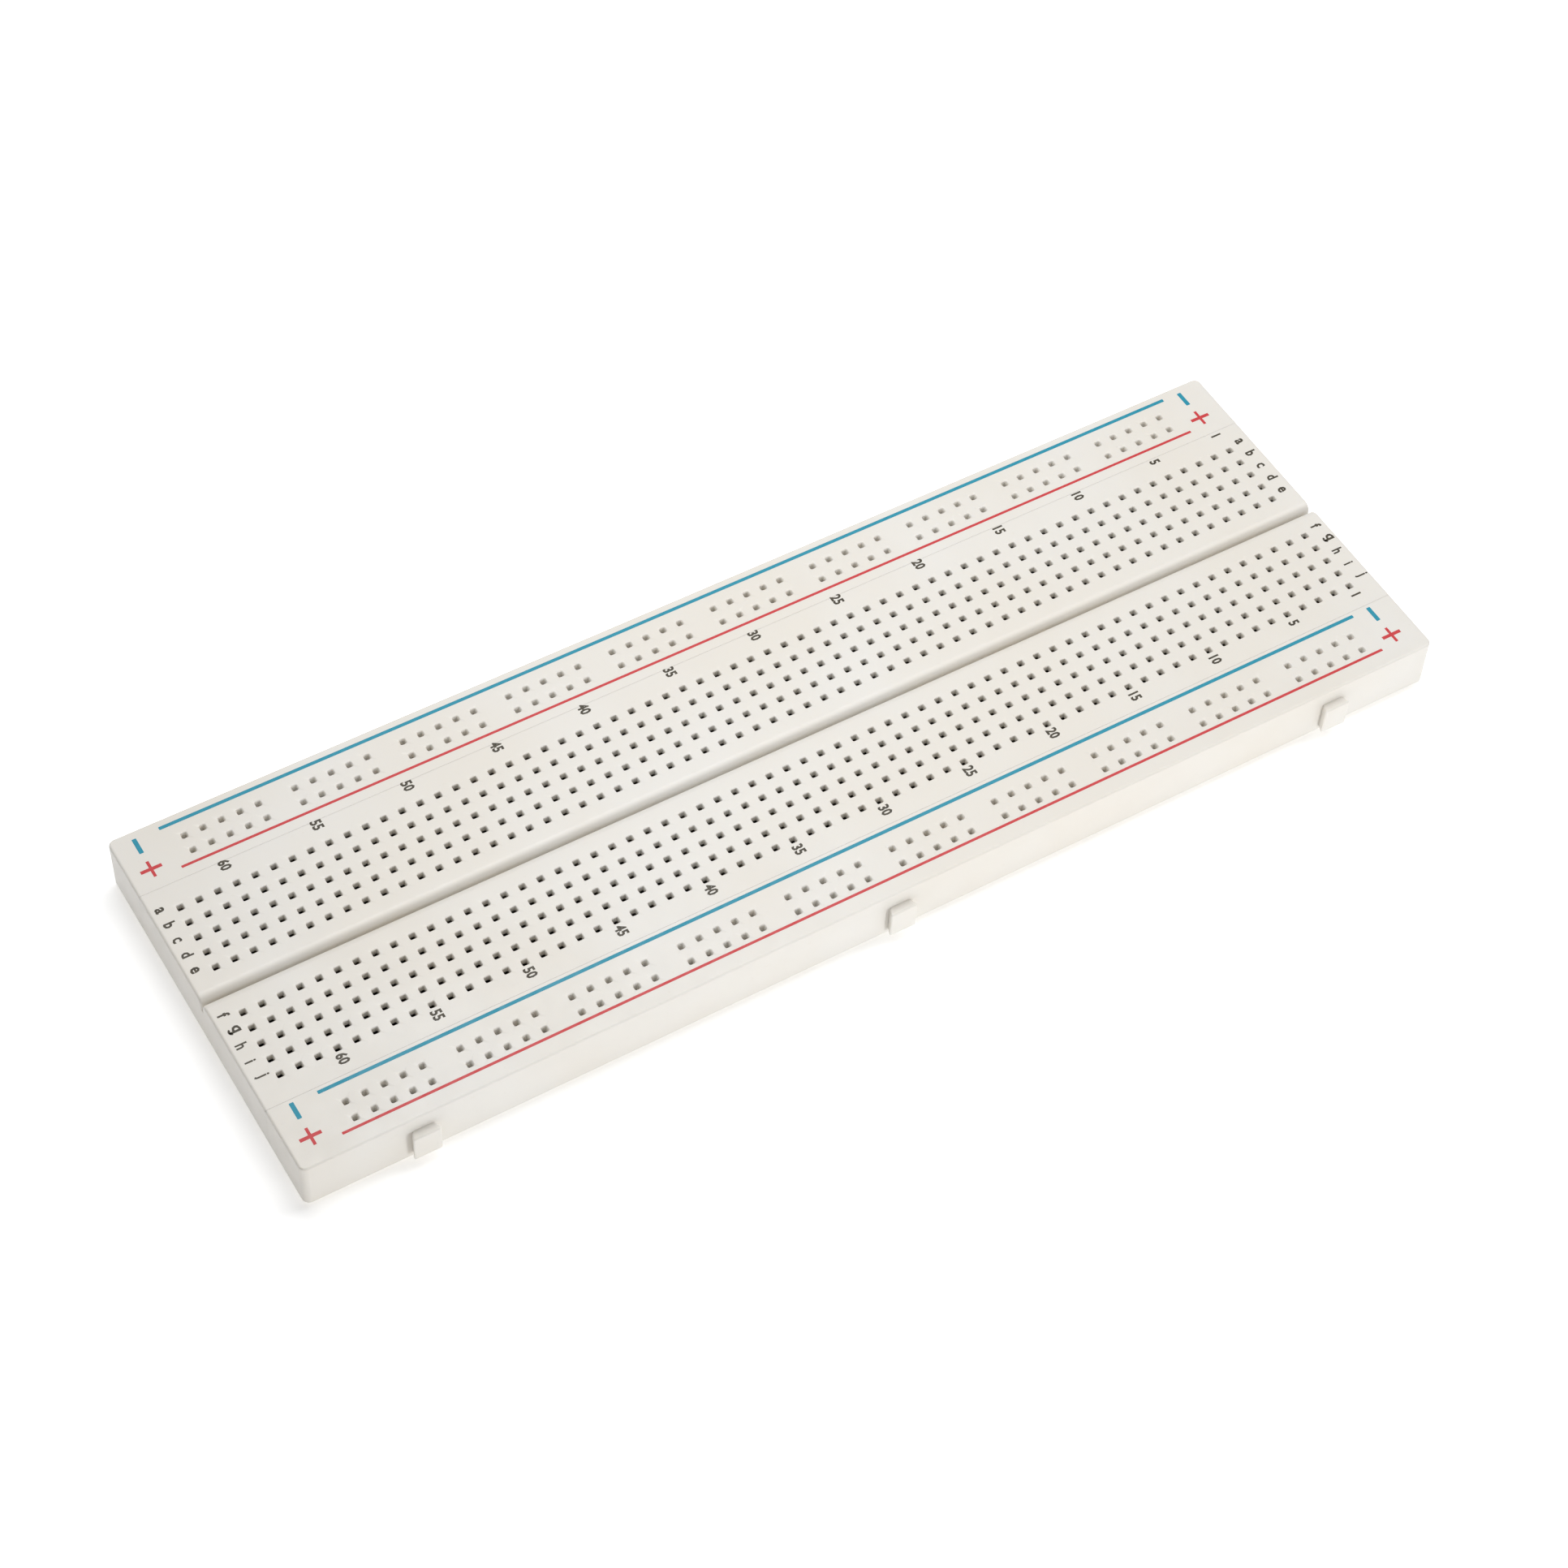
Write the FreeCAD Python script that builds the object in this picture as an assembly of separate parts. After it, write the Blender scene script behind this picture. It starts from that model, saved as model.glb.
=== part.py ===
# Full-size solderless breadboard: one terminal strip between two bus strips.
#
# Each strip is a moulding with square tie-point holes in its top. Sprung metal contacts
# are pushed into pockets from underneath, and a foam tape with a release liner closes
# the bottom. The strips hold together with dovetail tabs on their -Y walls, which stand
# in slots in the next strip's +Y wall, so each strip comes off its neighbour upwards.
#
# Frame: millimetres, +X along the strips towards column 1, +Y towards row a, +Z up.
# The origin is under the middle of the centre channel, on the surface the board lies on.

import FreeCAD, Part
import os

Vector = FreeCAD.Vector
UP = Vector(0, 0, 1)

# ---- driving dimensions -------------------------------------------------------------

PITCH = 2.54                                 # grid of the tie points
COLUMNS = 63
POINTS_PER_CLIP = 5                          # rows a to e, or f to j
CHANNEL_ROW_Y = 1.5 * PITCH                  # rows e and f, from the channel's middle
CLIP_MIDDLE_Y = CHANNEL_ROW_Y + 0.5 * (POINTS_PER_CLIP - 1) * PITCH

BUS_GROUPS = 10
BUS_GROUP_PITCH = 6 * PITCH
BUS_INNER_ROW_Y = 21.25                      # the rail row beside the terminal strip
BUS_OUTER_ROW_Y = BUS_INNER_ROW_Y + PITCH

LENGTH = 65 * PITCH
WIDTH = 55.0                                 # over the three strips, without tabs
SEAM = 0.02                                  # gap between two strips
TERMINAL_WIDTH = 35.6
LINER_THICKNESS = 0.1
FOAM_THICKNESS = 0.9
MOULDING_HEIGHT = 7.5

BASE_Z = LINER_THICKNESS + FOAM_THICKNESS    # underside of the mouldings
TOP_Z = BASE_Z + MOULDING_HEIGHT
TERMINAL_WALL_Y = TERMINAL_WIDTH / 2
BUS_INNER_WALL_Y = TERMINAL_WALL_Y + SEAM
BUS_OUTER_WALL_Y = WIDTH / 2
END_X = LENGTH / 2

# mouldings
EDGE_RADIUS = 0.3                            # top edges that a finger meets
CORNER_RADIUS = 1.0                          # the board's four upright corners
CHANNEL_WIDTH = 0.4                          # between the channel's upright walls
CHANNEL_DEPTH = 2.0
SHOULDER_RADIUS = 1.2                        # rolled top edges of the channel
MOUTH_SIZE = 1.15                            # of a tie point's square funnel, at the top
TERMINAL_HOLE = 0.8                          # square hole below the funnel
TERMINAL_FUNNEL = 0.3                        # depth of the funnel
TERMINAL_ROOF = 0.9                          # plastic over the clips
BUS_HOLE = 0.7
BUS_FUNNEL = 0.5
BUS_ROOF = 1.6                               # plastic over the rails

# sprung contacts
SHEET = 0.2
FINGER_WIDTH = 2.04
CLIP_HEIGHT = 6.3
RAIL_HEIGHT = 5.6
CONTACT_WIDTH = 1.8
WEB_HEIGHT = 1.2                             # where the saw cuts between fingers stop
PINCH_GAP = 0.12                             # between opposite fingers, no lead in
PINCH_HEIGHT = 4.0                           # where the fingers meet the lead
PINCH_LENGTH = 0.35
MOUTH_HALF_WIDTH = 0.66                      # flared tips, at the sheet's middle
BEND = 0.15                                  # bevel of the bend between web and root
POCKET_CLEARANCE = 0.1                       # around a contact, each side

# dovetails
TAB_PITCH = 66.7
TAB_TIP_WIDTH = 3.8
TAB_ROOT_WIDTH = 3.0
TAB_REACH = 1.2
TAB_BOTTOM_Z = BASE_Z + 0.6
TAB_TOP_Z = TOP_Z - 2.5
TAB_EDGE = 0.25
SLOT_CLEARANCE = 0.1

# foam tape and liner stay inside the dovetail slots
TAPE_INSET = 1.5

CLIPS_PER_NODE = 5


# ---- small helpers ------------------------------------------------------------------

def block(x_range, y_range, z_range):
    """A box between the given limits."""
    size = [high - low for low, high in (x_range, y_range, z_range)]
    return Part.makeBox(*size, Vector(x_range[0], y_range[0], z_range[0]))


def placed(shape, x=0.0, y=0.0, z=0.0, turn=0.0):
    """A copy of the shape, turned about Z and then moved."""
    copy = shape.copy()
    copy.rotate(Vector(), UP, turn)
    copy.translate(Vector(x, y, z))
    return copy


def prism(outline, along):
    """A solid between a closed outline of points and its copy moved by a vector."""
    points = [Vector(*point) for point in outline]
    return Part.Face(Part.makePolygon(points + points[:1])).extrude(along)


def edges_where(shape, test, across=None):
    """The edges whose end points all pass the test, and that don't run along an axis.

    across names an axis, such as "X", that the wanted edges stand square to."""
    edges = [edge for edge in shape.Edges if all(test(vertex.Point) for vertex in edge.Vertexes)]
    if across is None:
        return edges
    return [edge for edge in edges if near(getattr(edge.BoundBox, across + "Length"), 0)]


def near(value, target):
    return abs(value - target) < 1e-6


def column_x(column):
    return (0.5 * (COLUMNS + 1) - column) * PITCH


def clip_points():
    """Places of one clip's tie points along it, about its middle."""
    middle = 0.5 * (POINTS_PER_CLIP - 1)
    return [(i - middle) * PITCH for i in range(POINTS_PER_CLIP)]


def bus_group_centres():
    middle = 0.5 * (BUS_GROUPS - 1)
    return [(i - middle) * BUS_GROUP_PITCH for i in range(BUS_GROUPS)]


def bus_points():
    """Places of a rail's tie points along X: groups of five."""
    return [centre + point for centre in bus_group_centres() for point in clip_points()]


# ---- sprung contacts ----------------------------------------------------------------

def direction(start, end):
    """Unit vector between two (u, w) points."""
    u, w = end[0] - start[0], end[1] - start[1]
    length = (u * u + w * w) ** 0.5
    return u / length, w / length


def sheet_outline(path, thickness):
    """Outline of a bent sheet round its centre line, with mitred corners."""
    left = []
    right = []
    last = len(path) - 1
    for i, (u, w) in enumerate(path):
        arriving = direction(path[max(i - 1, 0)], path[max(i, 1)])
        leaving = direction(path[min(i, last - 1)], path[min(i + 1, last)])
        turn = 1 + arriving[0] * leaving[0] + arriving[1] * leaving[1]
        step_u = -0.5 * thickness * (arriving[1] + leaving[1]) / turn
        step_w = 0.5 * thickness * (arriving[0] + leaving[0]) / turn
        left.append((u + step_u, w + step_w))
        right.append((u - step_u, w - step_w))
    return left + right[::-1]


def contact_path(height):
    """Centre line of a contact's section: mouth, finger and root, web, and back up."""
    root = 0.5 * (CONTACT_WIDTH - SHEET)
    pinch = 0.5 * (PINCH_GAP + SHEET)
    web = 0.5 * SHEET
    half = [
        (root - BEND, web),
        (root, web + BEND),
        (root, WEB_HEIGHT - SHEET),
        (pinch, PINCH_HEIGHT),
        (pinch, PINCH_HEIGHT + PINCH_LENGTH),
        (MOUTH_HALF_WIDTH, height - 0.5 * SHEET),
    ]
    return [(-u, w) for u, w in half[::-1]] + half


def contact(points, height):
    """A sprung contact along Y with a pair of fingers at each of the given places."""
    ends = (points[0] - FINGER_WIDTH / 2, points[-1] + FINGER_WIDTH / 2)
    outline = [(u, ends[0], w) for u, w in sheet_outline(contact_path(height), SHEET)]
    strip = prism(outline, Vector(0, ends[1] - ends[0], 0))
    cuts = []
    for here, following in zip(points, points[1:]):
        gap = (here + FINGER_WIDTH / 2, following - FINGER_WIDTH / 2)
        cuts.append(block((-CONTACT_WIDTH, CONTACT_WIDTH), gap, (WEB_HEIGHT, 2 * height)))
    return strip.cut(Part.makeCompound(cuts))


def clip_node_ranges():
    """First and last column of each group of clips that shares a node."""
    starts = range(1, COLUMNS + 1, CLIPS_PER_NODE)
    return [(start, min(start + CLIPS_PER_NODE - 1, COLUMNS)) for start in starts]


def terminal_contacts():
    """Node name to its clips, one clip per column on each side of the channel."""
    clip = contact(clip_points(), CLIP_HEIGHT)
    nodes = {}
    for rows, y in (("a_e", CLIP_MIDDLE_Y), ("f_j", -CLIP_MIDDLE_Y)):
        for first, last in clip_node_ranges():
            columns = range(first, last + 1)
            clips = [placed(clip, column_x(column), y, BASE_Z) for column in columns]
            nodes["contacts_%s_%02d_%02d" % (rows, first, last)] = clips
    return nodes


def rail(y):
    """A bus rail: one contact strip for a whole row of the bus."""
    return placed(contact(bus_points(), RAIL_HEIGHT), 0, y, BASE_Z, turn=-90)


# ---- mouldings ----------------------------------------------------------------------

def tie_point_hole(hole_size, funnel_depth, roof):
    """Cutter for one square hole with its funnel, down to the pocket under the roof."""
    half = hole_size / 2
    mouth = MOUTH_SIZE / 2
    hole = block((-half, half), (-half, half), (TOP_Z - roof - SHEET, TOP_Z))
    funnel = Part.makeWedge(-half, 0, -half, -mouth, -mouth,
                            half, funnel_depth, half, mouth, mouth)
    funnel.rotate(Vector(), Vector(1, 0, 0), 90)
    funnel.translate(Vector(0, 0, TOP_Z - funnel_depth))
    return hole.fuse(funnel)


def clip_cell(hole_size, funnel_depth, roof):
    """Cutter for five tie points in a line along Y and the pocket of their clip."""
    points = clip_points()
    half_length = points[-1] + FINGER_WIDTH / 2 + POCKET_CLEARANCE
    half_width = CONTACT_WIDTH / 2 + POCKET_CLEARANCE
    pocket = block((-half_width, half_width), (-half_length, half_length),
                   (BASE_Z, TOP_Z - roof))
    hole = tie_point_hole(hole_size, funnel_depth, roof)
    return pocket.multiFuse([placed(hole, 0, point) for point in points]).removeSplitter()


def dovetail(clearance, z_range):
    """A dovetail that stands out towards -Y from a wall at y = 0, grown by a clearance."""
    root = TAB_ROOT_WIDTH / 2 + clearance
    tip = TAB_TIP_WIDTH / 2 + clearance
    reach = TAB_REACH - SEAM + clearance
    outline = [(-root, SEAM, z_range[0]), (-root, 0, z_range[0]), (-tip, -reach, z_range[0]),
               (tip, -reach, z_range[0]), (root, 0, z_range[0]), (root, SEAM, z_range[0])]
    return prism(outline, Vector(0, 0, z_range[1] - z_range[0]))


def tab():
    """Dovetail tab on a strip's -Y wall, with eased tip corners and top edge."""
    shape = dovetail(0.0, (TAB_BOTTOM_Z, TAB_TOP_Z))
    shape.translate(Vector(0, -SEAM, 0))
    uprights = edges_where(shape, lambda p: near(p.y, -TAB_REACH), across="X")
    eased = shape.makeFillet(TAB_EDGE, uprights)
    rim = edges_where(eased, lambda p: near(p.z, TAB_TOP_Z) and near(p.y, -TAB_REACH))
    return eased.makeChamfer(TAB_EDGE, rim)


def tab_places():
    return [-TAB_PITCH, 0.0, TAB_PITCH]


def with_dovetails(body, low_wall_y, high_wall_y):
    """Adds the tabs to a strip's low-Y wall and cuts the slots into its high-Y wall."""
    tabs = [placed(tab(), x, low_wall_y) for x in tab_places()]
    slot = dovetail(SLOT_CLEARANCE, (BASE_Z, TAB_TOP_Z + SLOT_CLEARANCE))
    slots = [placed(slot, x, high_wall_y) for x in tab_places()]
    return body.multiFuse(tabs).cut(Part.makeCompound(slots)).removeSplitter()


def terminal_block():
    """Terminal strip moulding before its holes: bar, centre channel and rounded edges."""
    bar = block((-END_X, END_X), (-TERMINAL_WALL_Y, TERMINAL_WALL_Y), (BASE_Z, TOP_Z))
    half = CHANNEL_WIDTH / 2
    channel = block((-LENGTH, LENGTH), (-half, half), (TOP_Z - CHANNEL_DEPTH, 2 * TOP_Z))
    body = bar.cut(channel)
    shoulders = edges_where(body, lambda p: near(p.z, TOP_Z) and near(abs(p.y), half), across="Y")
    body = body.makeFillet(SHOULDER_RADIUS, shoulders)
    ends = edges_where(body, lambda p: near(p.z, TOP_Z) and near(abs(p.x), END_X), across="X")
    return body.makeFillet(EDGE_RADIUS, ends)


def terminal_housing():
    cell = clip_cell(TERMINAL_HOLE, TERMINAL_FUNNEL, TERMINAL_ROOF)
    cells = []
    for column in range(1, COLUMNS + 1):
        for y in (CLIP_MIDDLE_Y, -CLIP_MIDDLE_Y):
            cells.append(placed(cell, column_x(column), y))
    body = with_dovetails(terminal_block(), -TERMINAL_WALL_Y, TERMINAL_WALL_Y)
    return body.cut(Part.makeCompound(cells))


def bus_block(low_y, high_y):
    """Bus strip moulding before its holes. Its outer side has the rounded edges."""
    body = block((-END_X, END_X), (low_y, high_y), (BASE_Z, TOP_Z))
    outer_y = high_y if high_y > 0 else low_y
    corners = edges_where(body, lambda p: near(p.y, outer_y), across="X")
    body = body.makeFillet(CORNER_RADIUS, corners)
    seam_y = low_y if high_y > 0 else high_y
    rim = [edge for edge in body.Edges
           if near(edge.BoundBox.ZMin, TOP_Z) and not near(edge.CenterOfMass.y, seam_y)]
    return body.makeFillet(EDGE_RADIUS, rim)


def rail_web_slot(y):
    """Cutter that lets a rail's web pass under the ribs between its groups."""
    points = bus_points()
    half_length = points[-1] + FINGER_WIDTH / 2 + POCKET_CLEARANCE
    half_width = CONTACT_WIDTH / 2 + POCKET_CLEARANCE
    return block((-half_length, half_length), (y - half_width, y + half_width),
                 (BASE_Z, BASE_Z + WEB_HEIGHT + POCKET_CLEARANCE))


def bus_housing(side):
    """Bus strip moulding on the +Y side (side = 1) or the -Y side (side = -1)."""
    walls = sorted((side * BUS_INNER_WALL_Y, side * BUS_OUTER_WALL_Y))
    body = with_dovetails(bus_block(*walls), *walls)
    cell = clip_cell(BUS_HOLE, BUS_FUNNEL, BUS_ROOF)
    rows = (side * BUS_INNER_ROW_Y, side * BUS_OUTER_ROW_Y)
    cells = [placed(cell, x, y, turn=90) for x in bus_group_centres() for y in rows]
    body = body.cut(Part.makeCompound(cells))
    return body.cut(Part.makeCompound([rail_web_slot(y) for y in rows]))


# ---- adhesive backing ---------------------------------------------------------------

def backing(low_y, high_y, z_range):
    """A rectangular layer under a strip, clear of its walls and slots."""
    return block((-END_X + TAPE_INSET, END_X - TAPE_INSET),
                 (low_y + TAPE_INSET, high_y - TAPE_INSET), z_range)


# ---- assembly -----------------------------------------------------------------------

def build():
    """Node name to the list of its solids."""
    strips = {
        "terminal": (-TERMINAL_WALL_Y, TERMINAL_WALL_Y),
        "far_bus": (BUS_INNER_WALL_Y, BUS_OUTER_WALL_Y),
        "near_bus": (-BUS_OUTER_WALL_Y, -BUS_INNER_WALL_Y),
    }
    nodes = {
        "terminal_housing": [terminal_housing()],
        "far_bus_housing": [bus_housing(1)],
        "near_bus_housing": [bus_housing(-1)],
        "far_positive_rail": [rail(BUS_INNER_ROW_Y)],
        "far_negative_rail": [rail(BUS_OUTER_ROW_Y)],
        "near_negative_rail": [rail(-BUS_INNER_ROW_Y)],
        "near_positive_rail": [rail(-BUS_OUTER_ROW_Y)],
    }
    nodes.update(terminal_contacts())
    for strip, walls in strips.items():
        nodes[strip + "_foam_tape"] = [backing(*walls, (LINER_THICKNESS, BASE_Z))]
        nodes[strip + "_release_liner"] = [backing(*walls, (0, LINER_THICKNESS))]
    return nodes


def export(nodes):
    os.makedirs("parts", exist_ok=True)
    for name, solids in nodes.items():
        shape = solids[0] if len(solids) == 1 else Part.makeCompound(solids)
        shape.exportStep("parts/%s.step" % name)
        state = "valid" if shape.isValid() else "NOT VALID"
        print("%-24s %2d solids %6d faces %10.2f mm3 %s"
              % (name, len(shape.Solids), len(shape.Faces), shape.Volume, state))


export(build())
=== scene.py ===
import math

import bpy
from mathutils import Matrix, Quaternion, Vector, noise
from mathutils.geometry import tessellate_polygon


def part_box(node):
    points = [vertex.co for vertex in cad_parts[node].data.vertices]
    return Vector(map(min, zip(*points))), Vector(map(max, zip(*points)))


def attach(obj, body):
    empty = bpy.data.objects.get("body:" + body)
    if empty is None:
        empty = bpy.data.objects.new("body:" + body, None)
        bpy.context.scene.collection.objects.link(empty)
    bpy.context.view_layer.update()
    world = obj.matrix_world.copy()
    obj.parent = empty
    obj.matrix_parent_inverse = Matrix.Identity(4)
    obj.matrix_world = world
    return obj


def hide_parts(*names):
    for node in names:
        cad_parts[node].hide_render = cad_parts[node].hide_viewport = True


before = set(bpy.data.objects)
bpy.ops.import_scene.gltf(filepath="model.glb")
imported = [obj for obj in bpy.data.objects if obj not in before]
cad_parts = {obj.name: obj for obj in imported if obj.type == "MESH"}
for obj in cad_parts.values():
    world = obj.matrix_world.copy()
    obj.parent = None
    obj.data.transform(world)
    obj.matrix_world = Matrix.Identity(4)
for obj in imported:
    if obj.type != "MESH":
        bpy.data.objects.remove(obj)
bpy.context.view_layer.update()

# Looks of a full-size solderless breadboard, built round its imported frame.
#
# The three mouldings are rebuilt as closed skins with rolled hole lips, eased edges and
# moulded texture. The sprung contacts are the frame's own nodes with a metal finish. The
# foam tapes and release liners are rebuilt too, and the printing is thin raised ink.
#
# Shapes are worked out in millimetres and scaled by MM when their meshes are made.
# +X runs towards column 1, +Y towards row a, +Z up.

# ---- sizes --------------------------------------------------------------------------

MM = 0.001


def box_mm(node):
    low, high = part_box(node)
    return low / MM, high / MM


TERMINAL_BOX = box_mm("terminal_housing")
NEAR_BOX = box_mm("near_bus_housing")
FAR_BOX = box_mm("far_bus_housing")
RAIL_BOX = box_mm("far_positive_rail")       # of the rail beside the terminal strip

END_X = TERMINAL_BOX[1].x
TOP_Z = TERMINAL_BOX[1].z
BASE_Z = TERMINAL_BOX[0].z
TERMINAL_WALL_Y = TERMINAL_BOX[1].y
BUS_INNER_WALL_Y = -NEAR_BOX[1].y
BUS_OUTER_WALL_Y = FAR_BOX[1].y
TAB_REACH = -NEAR_BOX[0].y - BUS_OUTER_WALL_Y

PITCH = 2.54
COLUMNS = 63
POINTS_PER_CLIP = 5
ROW_E_Y = 1.5 * PITCH
BUS_GROUPS = 10
BUS_GROUP_PITCH = 6 * PITCH
BUS_INNER_ROW_Y = 0.5 * (RAIL_BOX[0].y + RAIL_BOX[1].y)
BUS_OUTER_ROW_Y = BUS_INNER_ROW_Y + PITCH

INK = 0.012                      # thickness of the printing; its top is the box's top
SKIN_Z = TOP_Z - INK             # top face of the mouldings

OUTER_RADIUS = 0.3               # edges that a finger meets
UPRIGHT_RADIUS = 1.0             # the board's four upright corners
SEAM_RADIUS = 0.01               # edges at the joints between the strips
SEAM_EASE = 0.02                 # how far seam walls ease in at the ends, against the rest
CHANNEL_WIDTH = 0.4
CHANNEL_DEPTH = 2.0
SHOULDER_RADIUS = 1.2

MOUTH_SIZE = 1.15
HOLE_CORNER = 0.12
TERMINAL_HOLE = 0.8              # size of a hole below its lip
TERMINAL_LIP = 0.3               # depth of the lip
TERMINAL_ROOF_Z = TOP_Z - 0.9    # ceiling of the clips' pockets
BUS_HOLE = 0.65
BUS_LIP = 0.5
BUS_ROOF_Z = TOP_Z - 1.6         # ceiling of the rails' pockets
POCKET_HALF_WIDTH = 1.0
POCKET_PAST_HOLE = 1.12          # from the middle of a pocket's last hole to its end
POCKET_HALF_LENGTH = 0.5 * (POINTS_PER_CLIP - 1) * PITCH + POCKET_PAST_HOLE
WEB_ROOF_Z = BASE_Z + 1.3        # ceiling of the passages between a rail's pockets

TAB_PITCH = 66.7
TAB_ROOT = 1.5                   # half widths
TAB_TIP = 1.9
TAB_LOW_Z = BASE_Z + 0.6
TAB_HIGH_Z = TOP_Z - 2.5
TAB_EDGE = 0.25
CORNER_SHRINK = 0.8              # of a tab's corners, against how far its edge has rolled
SLOT_CLEARANCE = 0.1


def column_x(column):
    return (0.5 * (COLUMNS + 1) - column) * PITCH


def spread(count, pitch):
    """Places of equal steps about zero."""
    return [(i - 0.5 * (count - 1)) * pitch for i in range(count)]


# ---- mesh building ------------------------------------------------------------------

WELD_DIGITS = 4                  # of a millimetre, at which corners become one vertex


class Skin:
    """Faces of a closed skin. Corners at the same place become one vertex."""

    def __init__(self):
        self.points = []
        self.faces = []
        self.known = {}

    def vertex(self, point):
        key = tuple(round(value, WELD_DIGITS) for value in point)
        if key not in self.known:
            self.known[key] = len(self.points)
            self.points.append(key)
        return self.known[key]

    def face(self, corners):
        """A face with these corners, less any that fall on the same place."""
        around = list(dict.fromkeys(self.vertex(corner) for corner in corners))
        if len(around) > 2:
            self.faces.append(around)

    def band(self, first, second):
        """Quads between two closed loops with the same number of corners."""
        for i in range(len(first)):
            j = (i + 1) % len(first)
            self.face([first[i], first[j], second[j], second[i]])

    def sheet(self, outline, openings=()):
        """A flat face with openings in it, as triangles."""
        loops = []
        for loop in (outline, *openings):
            around = dict.fromkeys(self.vertex(corner) for corner in loop)
            loops.append([Vector(self.points[i]) for i in around])
        corners = [corner for loop in loops for corner in loop]
        for triangle in tessellate_polygon(loops):
            self.face([corners[i] for i in triangle])

    def mesh(self, name):
        mesh = bpy.data.meshes.new(name)
        mesh.from_pydata([Vector(point) * MM for point in self.points], [], self.faces)
        return mesh


def piece(name, mesh, material, body, smooth_angle=40):
    """An object that rides a body, shaded smooth up to an angle between faces."""
    thing = bpy.data.objects.new(name, mesh)
    bpy.context.scene.collection.objects.link(thing)
    bpy.context.view_layer.objects.active = thing
    bpy.ops.object.select_all(action="DESELECT")
    thing.select_set(True)
    bpy.ops.object.mode_set(mode="EDIT")
    bpy.ops.mesh.select_all(action="SELECT")
    bpy.ops.mesh.normals_make_consistent(inside=False)
    bpy.ops.object.mode_set(mode="OBJECT")
    mesh.shade_smooth()
    mesh.set_sharp_from_angle(angle=math.radians(smooth_angle))
    weighted = thing.modifiers.new("weighted", "WEIGHTED_NORMAL")
    weighted.keep_sharp = True
    mesh.materials.append(material)
    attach(thing, body)
    return thing


def rounded_loop(half_x, half_y, radius, steps):
    """Corners of a rounded rectangle about the origin, with steps in each arc."""
    loop = []
    for quarter, (side_x, side_y) in enumerate(((1, 1), (-1, 1), (-1, -1), (1, -1))):
        for step in range(steps + 1):
            angle = math.radians(90 * (quarter + step / steps))
            x = side_x * (half_x - radius) + radius * math.cos(angle)
            y = side_y * (half_y - radius) + radius * math.sin(angle)
            loop.append((x, y))
    return loop


# ---- tie points and pockets ---------------------------------------------------------

LIP_STEPS = 4                    # in the arc of a rolled lip or a tab's front edge
CORNER_STEPS = 3                 # in the arc of a hole's or a tab's corner


def tie_point_loops(hole, lip, roof_z):
    """Rounded squares down one tie point: its rolled lip, then its straight hole."""
    loops = []
    for step in range(LIP_STEPS + 1):
        angle = math.radians(90 * step / LIP_STEPS)
        out = 0.5 * (MOUTH_SIZE - hole) * (1 - math.sin(angle))
        z = SKIN_Z - lip * (1 - math.cos(angle))
        half = 0.5 * hole + out
        square = rounded_loop(half, half, HOLE_CORNER + out, CORNER_STEPS)
        loops.append([(x, y, z) for x, y in square])
    loops.append([(x, y, roof_z) for x, y, z in loops[-1]])
    return loops


TERMINAL_POINT = tie_point_loops(TERMINAL_HOLE, TERMINAL_LIP, TERMINAL_ROOF_Z)
BUS_POINT = tie_point_loops(BUS_HOLE, BUS_LIP, BUS_ROOF_Z)


def moved(loop, x, y):
    return [(px + x, py + y, pz) for px, py, pz in loop]


def surround(skin, loop, x_range, y_range):
    """Flat faces between a rounded loop and the rectangle round it."""
    z = loop[0][2]
    corners = [(x_range[1], y_range[1], z), (x_range[0], y_range[1], z),
               (x_range[0], y_range[0], z), (x_range[1], y_range[0], z)]
    arc_size = len(loop) // 4
    for quarter, corner in enumerate(corners):
        arc = loop[quarter * arc_size:(quarter + 1) * arc_size]
        for start, end in zip(arc, arc[1:]):
            skin.face([corner, start, end])
        following = loop[(quarter + 1) * arc_size % len(loop)]
        skin.face([corner, arc[-1], following, corners[(quarter + 1) % 4]])


def tie_point(skin, point, x, y):
    """One square hole in its own tile of the top face, down to the pocket's ceiling."""
    loops = [moved(loop, x, y) for loop in point]
    half = 0.5 * PITCH
    surround(skin, loops[0], (x - half, x + half), (y - half, y + half))
    for upper, lower in zip(loops, loops[1:]):
        skin.band(upper, lower)


def tile_lines(places):
    """Borders of the tiles round neighbouring places."""
    return [place - 0.5 * PITCH for place in places] + [places[-1] + 0.5 * PITCH]


def block_outline(xs, ys, z):
    """The outline of a block of tiles, with a corner at each tile's border."""
    low_side = [(x, ys[0], z) for x in xs]
    high_x_side = [(xs[-1], y, z) for y in ys[1:-1]]
    high_side = [(x, ys[-1], z) for x in reversed(xs)]
    low_x_side = [(xs[0], y, z) for y in reversed(ys[1:-1])]
    return low_side + high_x_side + high_side + low_x_side


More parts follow.
